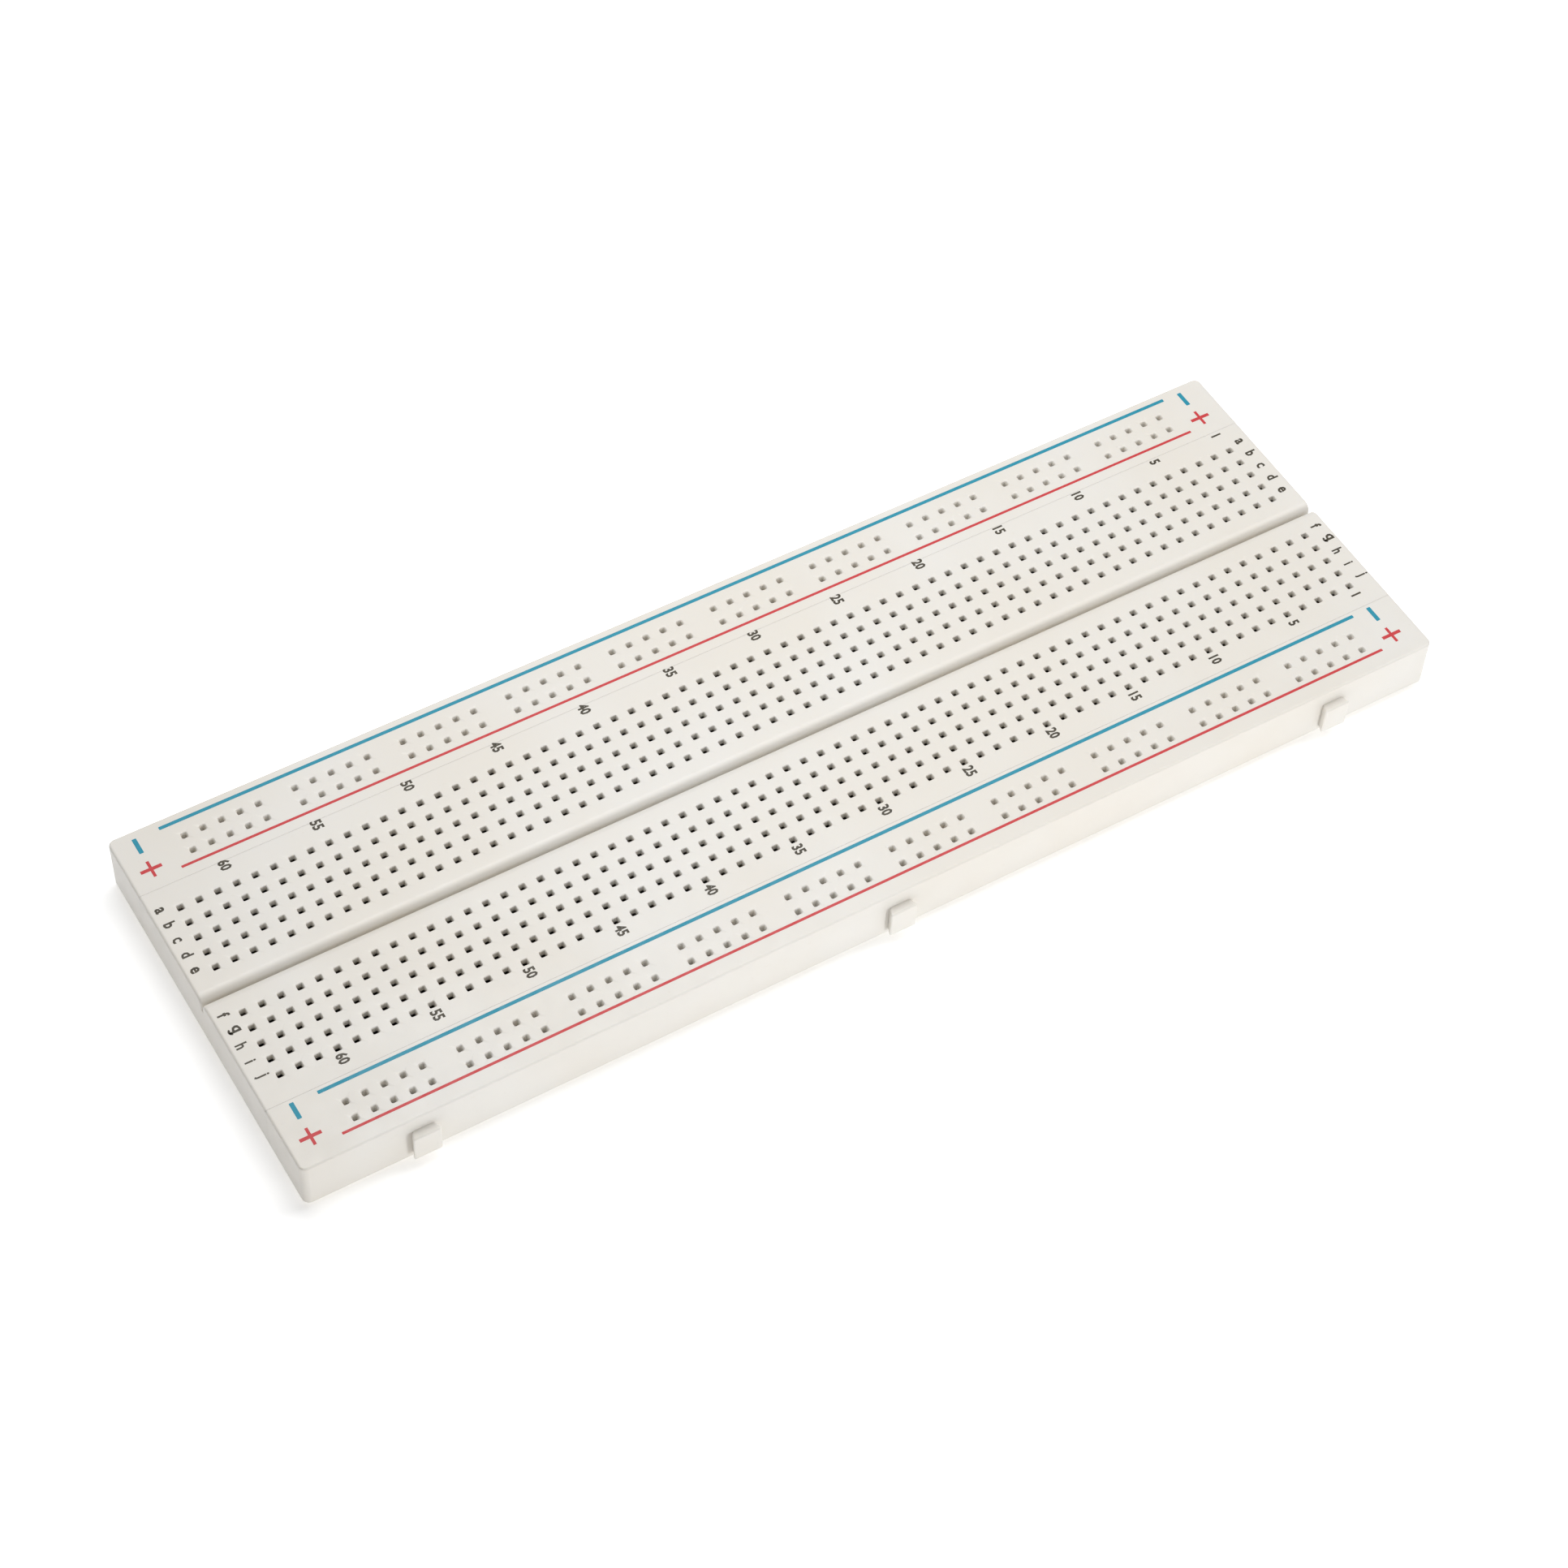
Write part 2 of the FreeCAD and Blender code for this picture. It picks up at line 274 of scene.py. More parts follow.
class Trench:
    """Pockets in a line along one axis, joined under their ribs by a low passage.

    A clip's trench has one pocket, a rail's has one for each group of tie points."""

    def __init__(self, point, middles, across, along_x):
        self.hole = point[-1]
        self.roof_z = self.hole[0][2]
        self.middles = middles
        self.across = across
        self.along_x = along_x

    def at(self, along, side, z):
        """The point at a place along the line, to one side of it."""
        across = self.across + side * POCKET_HALF_WIDTH
        return (along, across, z) if self.along_x else (across, along, z)

    def ends(self):
        return self.middles[0] - POCKET_HALF_LENGTH, self.middles[-1] + POCKET_HALF_LENGTH

    def mouth(self):
        """The outline of the trench's opening in the underside."""
        low, high = self.ends()
        return [self.at(low, -1, BASE_Z), self.at(high, -1, BASE_Z),
                self.at(high, 1, BASE_Z), self.at(low, 1, BASE_Z)]

    def ceiling(self, skin, middle):
        """The ceiling of one pocket, round the five holes that come through it."""
        points = [middle + step for step in spread(POINTS_PER_CLIP, PITCH)]
        borders = self.borders(middle)
        for point, low, high in zip(points, borders, borders[1:]):
            x, y = self.at(point, 0, self.roof_z)[:2]
            loop = moved(self.hole, x, y)
            width = (self.across - POCKET_HALF_WIDTH, self.across + POCKET_HALF_WIDTH)
            if self.along_x:
                surround(skin, loop, (low, high), width)
            else:
                surround(skin, loop, width, (low, high))

    def borders(self, middle):
        inner = [middle + step for step in spread(POINTS_PER_CLIP - 1, PITCH)]
        return [middle - POCKET_HALF_LENGTH, *inner, middle + POCKET_HALF_LENGTH]

    def side_wall(self, skin, side):
        low, high = self.ends()
        outline = [self.at(high, side, BASE_Z), self.at(low, side, BASE_Z)]
        for middle in self.middles:
            borders = self.borders(middle)
            if middle != self.middles[0]:
                outline.append(self.at(borders[0], side, WEB_ROOF_Z))
            outline.extend(self.at(border, side, self.roof_z) for border in borders)
            if middle != self.middles[-1]:
                outline.append(self.at(borders[-1], side, WEB_ROOF_Z))
        skin.sheet(outline)

    def upright(self, skin, along, z_range):
        """A wall across the line, between two heights."""
        skin.face([self.at(along, -1, z_range[0]), self.at(along, 1, z_range[0]),
                   self.at(along, 1, z_range[1]), self.at(along, -1, z_range[1])])

    def build(self, skin):
        for middle in self.middles:
            self.ceiling(skin, middle)
        for side in (-1, 1):
            self.side_wall(skin, side)
        for along in self.ends():
            self.upright(skin, along, (BASE_Z, self.roof_z))
        for here, following in zip(self.middles, self.middles[1:]):
            low, high = here + POCKET_HALF_LENGTH, following - POCKET_HALF_LENGTH
            self.upright(skin, low, (WEB_ROOF_Z, self.roof_z))
            self.upright(skin, high, (WEB_ROOF_Z, self.roof_z))
            skin.face([self.at(low, -1, WEB_ROOF_Z), self.at(high, -1, WEB_ROOF_Z),
                       self.at(high, 1, WEB_ROOF_Z), self.at(low, 1, WEB_ROOF_Z)])


# ---- dovetails ----------------------------------------------------------------------

def tab_places():
    return [-TAB_PITCH, 0.0, TAB_PITCH]


def tab_loop(x, y, half_width, inset):
    """An upright rounded rectangle round a tab, in the plane of the given y."""
    middle_z = 0.5 * (TAB_LOW_Z + TAB_HIGH_Z)
    half_height = 0.5 * (TAB_HIGH_Z - TAB_LOW_Z) - inset
    corner = TAB_EDGE - CORNER_SHRINK * inset
    loop = rounded_loop(half_width - inset, half_height, corner, CORNER_STEPS)
    return [(x + u, y, middle_z + w) for u, w in loop]


def tab(skin, x, wall_y):
    """Dovetail tab that stands out towards -Y, with its front edges rounded."""
    loops = [tab_loop(x, wall_y, TAB_ROOT, 0)]
    front_y = wall_y - TAB_REACH
    for step in range(LIP_STEPS + 1):
        angle = math.radians(90 * step / LIP_STEPS)
        y = front_y + TAB_EDGE * (1 - math.sin(angle))
        loops.append(tab_loop(x, y, TAB_TIP, TAB_EDGE * (1 - math.cos(angle))))
    for inner, outer in zip(loops, loops[1:]):
        skin.band(inner, outer)
    skin.sheet(loops[-1])


def slot_outline(x, wall_y, z):
    """The four corners of a dovetail slot at one height, from its low-X root."""
    root = TAB_ROOT + SLOT_CLEARANCE
    tip = TAB_TIP + SLOT_CLEARANCE
    deep_y = wall_y - TAB_REACH - 0.5 * SLOT_CLEARANCE
    return [(x - root, wall_y, z), (x - tip, deep_y, z),
            (x + tip, deep_y, z), (x + root, wall_y, z)]


def slot(skin, x, wall_y):
    """Inside faces of a dovetail slot in a +Y wall, open at the underside."""
    low = slot_outline(x, wall_y, BASE_Z)
    high = slot_outline(x, wall_y, TAB_HIGH_Z + SLOT_CLEARANCE)
    for i in range(3):
        skin.face([low[i], low[i + 1], high[i + 1], high[i]])
    skin.face(high)


# ---- mouldings ----------------------------------------------------------------------

ARC_STEPS = 8                        # in the arc of a moulding's edge
STRAIGHT = END_X - UPRIGHT_RADIUS    # the straight part of the mouldings, each way


def quarter_arc(middle_y, middle_z, radius, start):
    """Section points of a rounded edge, turning clockwise through 90 degrees.

    A section point is (y, z, turn, inward y, inward z). At the moulding's ends, turn says
    how it follows the upright corners, and the last two how it follows the top edge."""
    points = []
    for step in range(ARC_STEPS + 1):
        angle = math.radians(start - 90 * step / ARC_STEPS)
        y, z = math.cos(angle), math.sin(angle)
        points.append((middle_y + radius * y, middle_z + radius * z, 0, -y, -z))
    return points


def seam_side(wall_y):
    """Section of a wall that meets the next strip, from its top edge to its foot."""
    edge = quarter_arc(wall_y - SEAM_RADIUS, SKIN_Z - SEAM_RADIUS, SEAM_RADIUS, 90)
    top = [(y, z, 0, SEAM_EASE * inward_y, -1) for y, z, turn, inward_y, inward_z in edge]
    return top + [(wall_y, BASE_Z, 0, -SEAM_EASE, 0)]


def outer_side(wall_y):
    """Section of one of the board's long outer walls, from its top edge to its foot."""
    edge = quarter_arc(wall_y - OUTER_RADIUS, SKIN_Z - OUTER_RADIUS, OUTER_RADIUS, 90)
    top = [(y, z, -1, 0, inward_z) for y, z, turn, inward_y, inward_z in edge]
    return top + [(wall_y, BASE_Z, -1, 0, 0)]


def mirrored(points):
    """The same stretch of section on the other side, kept in the same direction."""
    result = []
    for y, z, turn, inward_y, inward_z in reversed(points):
        result.append((-y, z, -turn, -inward_y, inward_z))
    return result


def shifted(points, y):
    return [(point[0] + y, *point[1:]) for point in points]


def terminal_section():
    half = 0.5 * CHANNEL_WIDTH
    floor = (half, SKIN_Z - CHANNEL_DEPTH, 0, 1, -1)
    shoulder = quarter_arc(half + SHOULDER_RADIUS, SKIN_Z - SHOULDER_RADIUS, SHOULDER_RADIUS, 180)
    side = [floor] + shoulder + seam_side(TERMINAL_WALL_Y)
    return mirrored(side) + side


def bus_section(side):
    """Section of a bus strip: its outer wall is on the +Y side if side is 1."""
    middle = 0.5 * (BUS_OUTER_WALL_Y + BUS_INNER_WALL_Y)
    outer = outer_side(BUS_OUTER_WALL_Y - middle)
    seam = seam_side(BUS_OUTER_WALL_Y - middle)
    section = mirrored(seam) + outer if side > 0 else mirrored(outer) + seam
    return shifted(section, side * middle)


def end_stations():
    """(x, corner, edge) along a rounded end, from the straight part to the tip.

    The last two are how far the upright corners and the top edge have eased in."""
    stations = []
    for step in range(ARC_STEPS + 1):
        angle = math.radians(90 * step / ARC_STEPS)
        x = END_X - UPRIGHT_RADIUS * (1 - math.sin(angle))
        past = max(0.0, x - (END_X - OUTER_RADIUS))
        edge = OUTER_RADIUS - math.sqrt(OUTER_RADIUS ** 2 - past ** 2)
        stations.append((x, UPRIGHT_RADIUS * (1 - math.cos(angle)), edge))
    return stations


def section_loop(section, x, corner, edge):
    loop = []
    for y, z, turn, inward_y, inward_z in section:
        loop.append((x, y + corner * turn + edge * inward_y, z + edge * inward_z))
    return loop


def ends(skin, section):
    """Both rounded ends of a moulding, with their flat faces."""
    for side in (-1, 1):
        loops = []
        for x, corner, edge in end_stations():
            loops.append(section_loop(section, side * x, corner, edge))
        for inner, outer in zip(loops, loops[1:]):
            skin.band(inner, outer)
        skin.sheet(loops[-1])


def wall(skin, y, top_z, openings, notches):
    """A long upright wall, with openings in it and notches from its foot."""
    outline = [(STRAIGHT, y, top_z), (-STRAIGHT, y, top_z), (-STRAIGHT, y, BASE_Z)]
    for low_x, high_x, high_z in notches:
        outline += [(low_x, y, BASE_Z), (low_x, y, high_z),
                    (high_x, y, high_z), (high_x, y, BASE_Z)]
    outline.append((STRAIGHT, y, BASE_Z))
    skin.sheet(outline, openings)


def wall_with_tabs(skin, y, top_z):
    wall(skin, y, top_z, [tab_loop(x, y, TAB_ROOT, 0) for x in tab_places()], [])
    for x in tab_places():
        tab(skin, x, y)


def wall_with_slots(skin, y, top_z):
    root = TAB_ROOT + SLOT_CLEARANCE
    notches = [(x - root, x + root, TAB_HIGH_Z + SLOT_CLEARANCE) for x in tab_places()]
    wall(skin, y, top_z, [], notches)
    for x in tab_places():
        slot(skin, x, y)


def underside(skin, low_y, high_y, trenches):
    """The flat underside, open at the pockets and at the slots in the +Y wall."""
    outline = [(STRAIGHT, high_y, BASE_Z), (STRAIGHT, low_y, BASE_Z),
               (-STRAIGHT, low_y, BASE_Z), (-STRAIGHT, high_y, BASE_Z)]
    for x in tab_places():
        outline += slot_outline(x, high_y, BASE_Z)
    skin.sheet(outline, [trench.mouth() for trench in trenches])


def top_face(skin, low_y, high_y, point, blocks):
    """A flat stretch of the top, with blocks of tie points in it."""
    outline = [(-STRAIGHT, low_y, SKIN_Z), (STRAIGHT, low_y, SKIN_Z),
               (STRAIGHT, high_y, SKIN_Z), (-STRAIGHT, high_y, SKIN_Z)]
    inside = [(xs, ys) for xs, ys in blocks if low_y < ys[0] < high_y]
    openings = [block_outline(tile_lines(xs), tile_lines(ys), SKIN_Z) for xs, ys in inside]
    skin.sheet(outline, openings)
    for xs, ys in inside:
        for x in xs:
            for y in ys:
                tie_point(skin, point, x, y)


def moulding(section, point, blocks, trenches):
    """A strip's closed skin, from its section, one tie point's loops, blocks and trenches."""
    skin = Skin()
    low_y = min(point[0] for point in section)
    high_y = max(point[0] for point in section)
    for here, following in zip(section, section[1:] + section[:1]):
        (y0, z0), (y1, z1) = here[:2], following[:2]
        if z0 == z1 == BASE_Z:
            underside(skin, low_y, high_y, trenches)
        elif z0 == z1 == SKIN_Z:
            top_face(skin, y0, y1, point, blocks)
        elif y0 == y1 == low_y:
            wall_with_tabs(skin, y0, max(z0, z1))
        elif y0 == y1 == high_y:
            wall_with_slots(skin, y0, max(z0, z1))
        else:
            skin.face([(-STRAIGHT, y0, z0), (STRAIGHT, y0, z0),
                       (STRAIGHT, y1, z1), (-STRAIGHT, y1, z1)])
    ends(skin, section)
    for trench in trenches:
        trench.build(skin)
    return skin


def terminal_skin():
    columns = [column_x(column) for column in range(COLUMNS, 0, -1)]
    rows = [ROW_E_Y + i * PITCH for i in range(POINTS_PER_CLIP)]
    blocks = [(columns, rows), (columns, [-y for y in reversed(rows)])]
    middle = 0.5 * (rows[0] + rows[-1])
    trenches = []
    for x in columns:
        for side in (-1, 1):
            trenches.append(Trench(TERMINAL_POINT, [side * middle], x, False))
    return moulding(terminal_section(), TERMINAL_POINT, blocks, trenches)


def bus_skin(side):
    rows = sorted((side * BUS_INNER_ROW_Y, side * BUS_OUTER_ROW_Y))
    middles = spread(BUS_GROUPS, BUS_GROUP_PITCH)
    blocks = []
    for middle in middles:
        blocks.append(([middle + step for step in spread(POINTS_PER_CLIP, PITCH)], rows))
    trenches = [Trench(BUS_POINT, middles, y, True) for y in rows]
    return moulding(bus_section(side), BUS_POINT, blocks, trenches)


# ---- materials ----------------------------------------------------------------------

def srgb(red, green, blue):
    """A node colour from 0 to 255 display values."""
    linear = []
    for value in (red, green, blue):
        share = value / 255
        linear.append(share / 12.92 if share <= 0.04045 else ((share + 0.055) / 1.055) ** 2.4)
    return (*linear, 1.0)


class Surface:
    """A Principled material whose inputs are fed by small groups of nodes."""

    def __init__(self, name):
        self.material = bpy.data.materials.new(name)
        self.material.use_nodes = True
        self.tree = self.material.node_tree
        self.shader = self.tree.nodes["Principled BSDF"]
        self.place = self.add("ShaderNodeTexCoord").outputs["Object"]
        self.bumps = []

    def add(self, kind, **settings):
        node = self.tree.nodes.new(kind)
        for key, value in settings.items():
            setattr(node, key, value)
        return node

    def link(self, output, socket):
        self.tree.links.new(output, socket)

    def noise(self, size_mm, detail=3.0, roughness=0.5, stretch=None):
        """Noise from 0 to 1 whose features are about size_mm across."""
        mapping = self.add("ShaderNodeMapping")
        scale = Vector(stretch or (1, 1, 1)) / (size_mm * MM)
        mapping.inputs["Scale"].default_value = scale
        self.link(self.place, mapping.inputs["Vector"])
        texture = self.add("ShaderNodeTexNoise")
        texture.inputs["Scale"].default_value = 1.0
        texture.inputs["Detail"].default_value = detail
        texture.inputs["Roughness"].default_value = roughness
        self.link(mapping.outputs["Vector"], texture.inputs["Vector"])
        return texture.outputs["Fac"]

    def cells(self, size_mm, feature="F1"):
        mapping = self.add("ShaderNodeMapping")
        mapping.inputs["Scale"].default_value = Vector((1, 1, 1)) / (size_mm * MM)
        self.link(self.place, mapping.inputs["Vector"])
        texture = self.add("ShaderNodeTexVoronoi", feature=feature)
        texture.inputs["Scale"].default_value = 1.0
        self.link(mapping.outputs["Vector"], texture.inputs["Vector"])
        return texture.outputs["Distance"]

    def between(self, factor, low, high, start=0.35, end=0.65):
        """A value that goes from low to high while the factor goes from start to end."""
        node = self.add("ShaderNodeMapRange", clamp=True)
        node.inputs["From Min"].default_value = start
        node.inputs["From Max"].default_value = end
        node.inputs["To Min"].default_value = low
        node.inputs["To Max"].default_value = high
        self.link(factor, node.inputs["Value"])
        return node.outputs["Result"]

    def blend(self, factor, first, second):
        """One colour, then the other, by the factor. Each is a colour or an output."""
        node = self.add("ShaderNodeMix", data_type="RGBA")
        self.link(factor, node.inputs["Factor"])
        for socket, colour in ((node.inputs["A"], first), (node.inputs["B"], second)):
            self.feed(socket, colour)
        return node.outputs["Result"]

    def feed(self, socket, value):
        if isinstance(value, bpy.types.NodeSocket):
            self.link(value, socket)
        else:
            socket.default_value = value

    def bump(self, height, distance_mm):
        """Adds a layer of relief; the layers are chained into the shader's normal."""
        node = self.add("ShaderNodeBump")
        node.inputs["Strength"].default_value = 1.0
        node.inputs["Distance"].default_value = distance_mm * MM
        self.link(height, node.inputs["Height"])
        if self.bumps:
            self.link(self.bumps[-1].outputs["Normal"], node.inputs["Normal"])
        self.bumps.append(node)
        self.link(node.outputs["Normal"], self.shader.inputs["Normal"])

    def set(self, **values):
        for name, value in values.items():
            self.feed(self.shader.inputs[name.replace("_", " ")], value)


PLASTIC_LIGHT = srgb(234, 231, 225)
PLASTIC_WARM = srgb(232, 227, 218)
PLASTIC_SPECK = srgb(224, 218, 206)


def housing_plastic():
    """Off-white moulded plastic: faint warm clouding, satin gloss and fine grain."""
    surface = Surface("housing_plastic")
    clouds = surface.between(surface.noise(22, detail=2), 0, 1)
    colour = surface.blend(clouds, PLASTIC_LIGHT, PLASTIC_WARM)
    specks = surface.between(surface.noise(0.7, detail=4, roughness=0.7), 0, 0.5, 0.62, 0.8)
    colour = surface.blend(specks, colour, PLASTIC_SPECK)
    gloss = surface.between(surface.noise(3.5, detail=5, roughness=0.65), 0.38, 0.52)
    surface.set(Base_Color=colour, Roughness=gloss, IOR=1.5)
    surface.shader.inputs["Subsurface Weight"].default_value = 0.05
    surface.shader.inputs["Subsurface Radius"].default_value = (1.0, 0.8, 0.55)
    surface.shader.inputs["Subsurface Scale"].default_value = 1.2 * MM
    surface.bump(surface.noise(7, detail=2), 0.02)
    surface.bump(surface.noise(0.16, detail=3, roughness=0.6), 0.0025)
    return surface.material


def contact_metal():
    """Tarnished nickel over bronze: drawn grain along the strip and dull patches."""
    surface = Surface("contact_metal")
    tarnish = surface.between(surface.noise(1.3, detail=4, roughness=0.6), 0, 1, 0.4, 0.7)
    colour = surface.blend(tarnish, srgb(205, 199, 186), srgb(150, 138, 116))
    grain = surface.noise(0.09, detail=3, stretch=(0.15, 1, 1))
    roughness = surface.between(grain, 0.24, 0.42)
    surface.set(Base_Color=colour, Metallic=1.0, Roughness=roughness)
    surface.bump(grain, 0.004)
    return surface.material


def foam():
    """Closed-cell foam: pale, matt, with its cells showing."""
    surface = Surface("foam_tape")
    cells = surface.cells(0.28)
    walls = surface.between(cells, 0, 1, 0.2, 0.7)
    colour = surface.blend(walls, srgb(214, 208, 190), srgb(236, 232, 219))
    surface.set(Base_Color=colour, Roughness=0.9)
    surface.bump(cells, 0.08)
    surface.bump(surface.noise(1.6, detail=3), 0.1)
    return surface.material


def liner_paper():
    """Release paper: pale yellow, its fibres showing, with a waxy sheen."""
    surface = Surface("release_liner")
    fibres = surface.noise(0.5, detail=6, roughness=0.7, stretch=(0.3, 1, 1))
    share = surface.between(fibres, 0, 1)
    colour = surface.blend(share, srgb(236, 224, 184), srgb(225, 210, 165))
    gloss = surface.between(surface.noise(4, detail=3), 0.32, 0.5)
    surface.set(Base_Color=colour, Roughness=gloss)
    surface.shader.inputs["Coat Weight"].default_value = 0.2
    surface.shader.inputs["Coat Roughness"].default_value = 0.3
    surface.bump(fibres, 0.006)
    return surface.material


def ink(name, full, thin):
    """Pad-printed ink: uneven cover, with pinholes towards the plastic's colour."""
    surface = Surface(name)
    cover = surface.between(surface.noise(0.5, detail=5, roughness=0.7), 0, 0.55, 0.45, 0.75)
    colour = surface.blend(cover, full, thin)
    gloss = surface.between(surface.noise(1.0, detail=3), 0.42, 0.6)
    surface.set(Base_Color=colour, Roughness=gloss)
    surface.bump(surface.noise(0.2, detail=3), 0.003)
    return surface.material


PLASTIC = housing_plastic()
METAL = contact_metal()
FOAM = foam()
LINER = liner_paper()
DARK_INK = ink("dark_ink", srgb(64, 58, 46), srgb(116, 108, 90))
BLUE_INK = ink("blue_ink", srgb(26, 144, 170), srgb(52, 160, 182))
RED_INK = ink("red_ink", srgb(204, 54, 60), srgb(214, 98, 98))


# ---- the mouldings as pieces --------------------------------------------------------

def housings():
    skins = {"terminal": terminal_skin(), "far_bus": bus_skin(1), "near_bus": bus_skin(-1)}
    for body, skin in skins.items():
        node = body + "_housing"
        name = body + "_moulding"
        shell = piece(name, skin.mesh(name), PLASTIC, body)
        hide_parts(node)


def contacts():
    """The frame's clips and rails keep their shape and get their metal finish."""
    for name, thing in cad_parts.items():
        if name.startswith("contacts_") or name.endswith("_rail"):
            thing.data.materials.clear()
            thing.data.materials.append(METAL)


# ---- backing ------------------------------------------------------------------------

CUT_STEPS = 4                    # in the arc of a cut corner
WANDER_RATE = 0.35               # how quickly a blade's cut wanders, per millimetre


def cut_outline(low, high, corner, step, wander):
    """A rectangle's outline as a blade cuts it: round corners and a slight wander."""
    middle = 0.5 * (low + high)
    half = 0.5 * (high - low)
    arcs = rounded_loop(half.x, half.y, corner, CUT_STEPS)
    outline = []
    for i, (x, y) in enumerate(arcs):
        following = arcs[(i + 1) % len(arcs)]
        count = max(1, round(math.dist((x, y), following) / step))
        for part in range(count):
            share = part / count
            outline.append((x + share * (following[0] - x), y + share * (following[1] - y)))
    result = []
    for x, y in outline:
        inset = wander * (0.5 + 0.5 * noise.noise(Vector((x, y, high.z)) * WANDER_RATE))
        result.append((middle.x + x * (1 - inset / half.x),
                       middle.y + y * (1 - inset / half.y)))
    return result


LAYER_SHARES = (0.0, 0.15, 0.5, 0.85, 1.0)   # heights of a cut edge's loops


def layer(low, high, outline, bulge):
    """A thin closed layer whose cut edge bulges a little between its two faces."""
    skin = Skin()
    middle = 0.5 * (low + high)
    half = 0.5 * (high - low)
    loops = []
    for share in LAYER_SHARES:
        inset = bulge * (2 * share - 1) ** 2
        z = low.z + share * (high.z - low.z)
        loop = []
        for x, y in outline:
            away_x = (x - middle.x) / half.x
            away_y = (y - middle.y) / half.y
            loop.append((x - inset * away_x, y - inset * away_y, z))
        loops.append(loop)
    for lower, upper in zip(loops, loops[1:]):
        skin.band(lower, upper)
    skin.sheet(loops[0])
    skin.sheet(loops[-1])
    return skin


def backing():
    """Foam tape and release liner under each strip."""
    for body in ("terminal", "far_bus", "near_bus"):
        node = body + "_foam_tape"
        low, high = box_mm(node)
        outline = cut_outline(low, high, corner=0.4, step=1.5, wander=0.12)
        name = body + "_foam"
        mesh = layer(low, high, outline, bulge=0.1).mesh(name)
        tape = piece(name, mesh, FOAM, body)
        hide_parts(node)
        node = body + "_release_liner"
        low, high = box_mm(node)
        outline = cut_outline(low, high, corner=0.8, step=4.0, wander=0.05)
        name = body + "_liner"
        mesh = layer(low, high, outline, bulge=0.01).mesh(name)
        paper = piece(name, mesh, LINER, body)
        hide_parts(node)


# ---- printing -----------------------------------------------------------------------

BLUE_LINE = 0.5                  # widths of the lines beside the rails
RED_LINE = 0.38
RAIL_LINE_END = 76.0
BLUE_LINE_Y = (-18.55, 26.2)     # near and far bus strip, here and below
RED_LINE_Y = (-25.1, 19.45)
MINUS_Y = (-19.55, 25.0)
PLUS_Y = (-23.6, 21.0)

SIGN_X = (-79.4, 78.6)           # of the signs at both ends
MINUS_SIZE_X = 0.6
MINUS_SIZE_Y = 2.5
PLUS_SIZE_X = 2.85
PLUS_SIZE_Y = 2.6
PLUS_X_BAR = 0.5                 # width of the bar that runs along X
PLUS_Y_BAR = 0.4
PLATE_CORNER = 0.3               # radius of a plate's corners, against its half width
PLATE_STEPS = 2

FONT_STEPS = 2                   # in each curve of the font's outlines
LETTER = 2.35                    # sizes of the font
SMALL_LETTER = 2.1
DIGIT = 2.0
LIGHT = 0.055                    # how far the font's strokes are grown, each side
BOLD = 0.07
NARROW = 0.8                     # width of letters and digits, against the font's
BOLD_LETTERS = "abdefg"
LARGE_LETTERS = "ace"
LETTER_X = (-81.7, 80.3)         # baselines of the letters at both ends
LETTER_SHIFT = 0.75              # the letters' middles, past their rows
G_LIFT = 0.75                    # how far the letters with a tail are lifted
J_LIFT = 0.55
CHANNEL_ROWS = 2                 # rows that the centre channel takes the place of
NUMBER_Y = (17.15, -15.65)       # middles of the two lines of column numbers
NUMBER_SHIFT = 0.4 * DIGIT       # from a column to its number's baseline
NUMBER_STEP = 5                  # every fifth column is numbered, and the first

HOOK_STROKE = 0.07               # the hook of a g, in shares of the font's size
HOOK_RADIUS = 0.17
HOOK_DROP = 0.08                 # from the baseline down to the hook's middle
HOOK_SIDE = 0.23                 # from the letter's middle to the hook's start
HOOK_TURN = 150                  # degrees
HOOK_STEP = 15


def plate(skin, x, y, size_x, size_y):
    """A rectangle of ink about x, y with its corners rounded."""
    corner = PLATE_CORNER * 0.5 * min(size_x, size_y)
    loop = rounded_loop(0.5 * size_x, 0.5 * size_y, corner, PLATE_STEPS)
    ink_block(skin, [(x + u, y + v) for u, v in loop])


def ink_block(skin, outline):
    """A closed block of ink that stands on the top face, over an outline."""
    lower = [(x, y, SKIN_Z) for x, y in outline]
    upper = [(x, y, TOP_Z) for x, y in outline]
    skin.band(lower, upper)
    skin.sheet(lower)
    skin.sheet(upper)


def plus_outline(x, y):
    """A plus sign about x, y, one bar along X and one along Y."""
    long_x, long_y = 0.5 * PLUS_SIZE_X, 0.5 * PLUS_SIZE_Y
    short_x, short_y = 0.5 * PLUS_Y_BAR, 0.5 * PLUS_X_BAR
    quarter = [(long_x, short_y), (short_x, short_y), (short_x, long_y)]
    outline = quarter + [(-u, v) for u, v in reversed(quarter)]
    outline += [(-u, -v) for u, v in quarter] + [(u, -v) for u, v in reversed(quarter)]
    return [(x + u, y + v) for u, v in outline]


